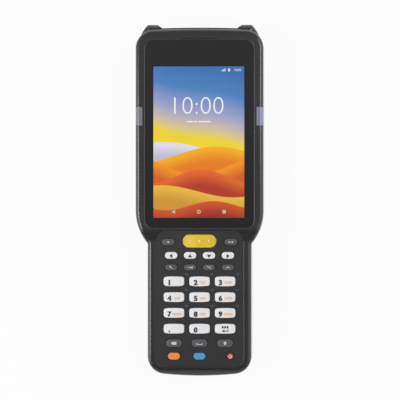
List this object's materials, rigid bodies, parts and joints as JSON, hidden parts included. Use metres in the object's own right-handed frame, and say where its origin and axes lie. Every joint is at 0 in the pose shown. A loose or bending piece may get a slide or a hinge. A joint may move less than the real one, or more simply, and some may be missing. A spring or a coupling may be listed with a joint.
{
  "type": "handheld mobile computer",
  "caption": "Rugged brick-shaped handheld computer with a touch screen in a wide head, a numeric keypad on a narrower grip, a scan window between horns and a removable battery pack.",
  "frame": {"origin": "middle of the bounding box on the plane the back rests on", "axes": "+X to the right of the screen, +Y towards the scanning end, +Z out of the screen"},
  "size_m": [0.075, 0.2038, 0.0344],
  "materials": {
    "shell_plastic": "fine textured charcoal",
    "bumper_rubber": "satin moulded elastomer",
    "panel_plastic": "satin",
    "latch_plastic": "satin",
    "window_plastic": "clear dark red",
    "cover_glass": "polished with a printed dark border",
    "seal_rubber": "matt",
    "display_stack": "lit display",
    "frame_metal": "as cast",
    "board_laminate": "green solder mask",
    "steel": "bright",
    "black_plastic": "moulded",
    "mat_rubber": "matt silicone",
    "light_plastic": "milky",
    "cell_foil": "foil",
    "key_white": "satin",
    "key_grey": "satin",
    "key_yellow": "satin",
    "key_orange": "satin",
    "key_blue": "satin",
    "key_red": "satin"
  },
  "bodies": {
    "housing": {"front_housing": "shell_plastic", "rear_housing": "shell_plastic", "head_bumper": "bumper_rubber", "scan_window": "window_plastic", "scan_engine": "black_plastic", "engine_bracket": "frame_metal", "touch_glass": "cover_glass", "display_gasket": "seal_rubber", "lcd_module": "display_stack", "chassis_frame": "frame_metal", "main_board": "board_laminate", "shield_cans": "steel", "keypad_panel": "panel_plastic", "keypad_mat": "mat_rubber", "keypad_board": "board_laminate", "key_domes": "steel", "light_pipes": "light_plastic", "status_leds": "light_plastic", "loudspeaker": "black_plastic", "vibration_motor": "steel", "backup_cell": "steel", "docking_connector": "black_plastic", "battery_contacts": "black_plastic", "housing_screws": "steel", "housing_seal": "seal_rubber"},
    "battery": {"battery_case": "shell_plastic", "battery_lid": "shell_plastic", "battery_cells": "cell_foil", "latch_springs": "steel"},
    "release_button_left": {"release_button_left": "latch_plastic"},
    "release_button_right": {"release_button_right": "latch_plastic"},
    "scan_key": {"scan_key": "key_yellow"},
    "side_key_left": {"side_key_left": "key_grey"},
    "side_key_right": {"side_key_right": "key_grey"},
    "arrow_left_key": {"arrow_left_key": "key_white"},
    "arrow_up_key": {"arrow_up_key": "key_white"},
    "arrow_down_key": {"arrow_down_key": "key_white"},
    "arrow_right_key": {"arrow_right_key": "key_white"},
    "function_key_1": {"function_key_1": "key_grey"},
    "function_key_2": {"function_key_2": "key_grey"},
    "function_key_3": {"function_key_3": "key_grey"},
    "function_key_4": {"function_key_4": "key_grey"},
    "number_key_1": {"number_key_1": "key_white"},
    "number_key_2": {"number_key_2": "key_white"},
    "number_key_3": {"number_key_3": "key_white"},
    "number_key_4": {"number_key_4": "key_white"},
    "number_key_5": {"number_key_5": "key_white"},
    "number_key_6": {"number_key_6": "key_white"},
    "number_key_7": {"number_key_7": "key_white"},
    "number_key_8": {"number_key_8": "key_white"},
    "number_key_9": {"number_key_9": "key_white"},
    "point_key": {"point_key": "key_white"},
    "number_key_0": {"number_key_0": "key_white"},
    "enter_key": {"enter_key": "key_white"},
    "backspace_key": {"backspace_key": "key_grey"},
    "space_key": {"space_key": "key_grey"},
    "shift_key": {"shift_key": "key_grey"},
    "orange_key": {"orange_key": "key_orange"},
    "blue_key": {"blue_key": "key_blue"},
    "power_key": {"power_key": "key_red"}
  },
  "joints": [
    {"name": "battery_slide", "type": "slide", "parent": "housing", "child": "battery", "axis": [0, 0, -1], "range_m": [0, 0.03], "deforming": ["latch_springs"]},
    {"name": "release_left_slide", "type": "slide", "parent": "battery", "child": "release_button_left", "axis": [1, 0, 0], "range_m": [0, 0.0012], "stiffness_N_per_m": 3000, "deforming": ["latch_springs"]},
    {"name": "release_right_slide", "type": "slide", "parent": "battery", "child": "release_button_right", "axis": [-1, 0, 0], "range_m": [0, 0.0012], "stiffness_N_per_m": 3000, "deforming": ["latch_springs"]},
    {"name": "scan_key_press", "type": "slide", "parent": "housing", "child": "scan_key", "axis": [0, 0, -1], "range_m": [0, 0.0007], "stiffness_N_per_m": 2000, "deforming": ["keypad_mat"]},
    {"name": "side_key_left_press", "type": "slide", "parent": "housing", "child": "side_key_left", "axis": [0, 0, -1], "range_m": [0, 0.0007], "stiffness_N_per_m": 2000, "deforming": ["keypad_mat"]},
    {"name": "side_key_right_press", "type": "slide", "parent": "housing", "child": "side_key_right", "axis": [0, 0, -1], "range_m": [0, 0.0007], "stiffness_N_per_m": 2000, "deforming": ["keypad_mat"]},
    {"name": "arrow_left_key_press", "type": "slide", "parent": "housing", "child": "arrow_left_key", "axis": [0, 0, -1], "range_m": [0, 0.0007], "stiffness_N_per_m": 2000, "deforming": ["keypad_mat"]},
    {"name": "arrow_up_key_press", "type": "slide", "parent": "housing", "child": "arrow_up_key", "axis": [0, 0, -1], "range_m": [0, 0.0007], "stiffness_N_per_m": 2000, "deforming": ["keypad_mat"]},
    {"name": "arrow_down_key_press", "type": "slide", "parent": "housing", "child": "arrow_down_key", "axis": [0, 0, -1], "range_m": [0, 0.0007], "stiffness_N_per_m": 2000, "deforming": ["keypad_mat"]},
    {"name": "arrow_right_key_press", "type": "slide", "parent": "housing", "child": "arrow_right_key", "axis": [0, 0, -1], "range_m": [0, 0.0007], "stiffness_N_per_m": 2000, "deforming": ["keypad_mat"]},
    {"name": "function_key_1_press", "type": "slide", "parent": "housing", "child": "function_key_1", "axis": [0, 0, -1], "range_m": [0, 0.0007], "stiffness_N_per_m": 2000, "deforming": ["keypad_mat"]},
    {"name": "function_key_2_press", "type": "slide", "parent": "housing", "child": "function_key_2", "axis": [0, 0, -1], "range_m": [0, 0.0007], "stiffness_N_per_m": 2000, "deforming": ["keypad_mat"]},
    {"name": "function_key_3_press", "type": "slide", "parent": "housing", "child": "function_key_3", "axis": [0, 0, -1], "range_m": [0, 0.0007], "stiffness_N_per_m": 2000, "deforming": ["keypad_mat"]},
    {"name": "function_key_4_press", "type": "slide", "parent": "housing", "child": "function_key_4", "axis": [0, 0, -1], "range_m": [0, 0.0007], "stiffness_N_per_m": 2000, "deforming": ["keypad_mat"]},
    {"name": "number_key_1_press", "type": "slide", "parent": "housing", "child": "number_key_1", "axis": [0, 0, -1], "range_m": [0, 0.0007], "stiffness_N_per_m": 2000, "deforming": ["keypad_mat"]},
    {"name": "number_key_2_press", "type": "slide", "parent": "housing", "child": "number_key_2", "axis": [0, 0, -1], "range_m": [0, 0.0007], "stiffness_N_per_m": 2000, "deforming": ["keypad_mat"]},
    {"name": "number_key_3_press", "type": "slide", "parent": "housing", "child": "number_key_3", "axis": [0, 0, -1], "range_m": [0, 0.0007], "stiffness_N_per_m": 2000, "deforming": ["keypad_mat"]},
    {"name": "number_key_4_press", "type": "slide", "parent": "housing", "child": "number_key_4", "axis": [0, 0, -1], "range_m": [0, 0.0007], "stiffness_N_per_m": 2000, "deforming": ["keypad_mat"]},
    {"name": "number_key_5_press", "type": "slide", "parent": "housing", "child": "number_key_5", "axis": [0, 0, -1], "range_m": [0, 0.0007], "stiffness_N_per_m": 2000, "deforming": ["keypad_mat"]},
    {"name": "number_key_6_press", "type": "slide", "parent": "housing", "child": "number_key_6", "axis": [0, 0, -1], "range_m": [0, 0.0007], "stiffness_N_per_m": 2000, "deforming": ["keypad_mat"]},
    {"name": "number_key_7_press", "type": "slide", "parent": "housing", "child": "number_key_7", "axis": [0, 0, -1], "range_m": [0, 0.0007], "stiffness_N_per_m": 2000, "deforming": ["keypad_mat"]},
    {"name": "number_key_8_press", "type": "slide", "parent": "housing", "child": "number_key_8", "axis": [0, 0, -1], "range_m": [0, 0.0007], "stiffness_N_per_m": 2000, "deforming": ["keypad_mat"]},
    {"name": "number_key_9_press", "type": "slide", "parent": "housing", "child": "number_key_9", "axis": [0, 0, -1], "range_m": [0, 0.0007], "stiffness_N_per_m": 2000, "deforming": ["keypad_mat"]},
    {"name": "point_key_press", "type": "slide", "parent": "housing", "child": "point_key", "axis": [0, 0, -1], "range_m": [0, 0.0007], "stiffness_N_per_m": 2000, "deforming": ["keypad_mat"]},
    {"name": "number_key_0_press", "type": "slide", "parent": "housing", "child": "number_key_0", "axis": [0, 0, -1], "range_m": [0, 0.0007], "stiffness_N_per_m": 2000, "deforming": ["keypad_mat"]},
    {"name": "enter_key_press", "type": "slide", "parent": "housing", "child": "enter_key", "axis": [0, 0, -1], "range_m": [0, 0.0007], "stiffness_N_per_m": 2000, "deforming": ["keypad_mat"]},
    {"name": "backspace_key_press", "type": "slide", "parent": "housing", "child": "backspace_key", "axis": [0, 0, -1], "range_m": [0, 0.0007], "stiffness_N_per_m": 2000, "deforming": ["keypad_mat"]},
    {"name": "space_key_press", "type": "slide", "parent": "housing", "child": "space_key", "axis": [0, 0, -1], "range_m": [0, 0.0007], "stiffness_N_per_m": 2000, "deforming": ["keypad_mat"]},
    {"name": "shift_key_press", "type": "slide", "parent": "housing", "child": "shift_key", "axis": [0, 0, -1], "range_m": [0, 0.0007], "stiffness_N_per_m": 2000, "deforming": ["keypad_mat"]},
    {"name": "orange_key_press", "type": "slide", "parent": "housing", "child": "orange_key", "axis": [0, 0, -1], "range_m": [0, 0.0007], "stiffness_N_per_m": 2000, "deforming": ["keypad_mat"]},
    {"name": "blue_key_press", "type": "slide", "parent": "housing", "child": "blue_key", "axis": [0, 0, -1], "range_m": [0, 0.0007], "stiffness_N_per_m": 2000, "deforming": ["keypad_mat"]},
    {"name": "power_key_press", "type": "slide", "parent": "housing", "child": "power_key", "axis": [0, 0, -1], "range_m": [0, 0.0007], "stiffness_N_per_m": 2000, "deforming": ["keypad_mat"]}
  ]
}
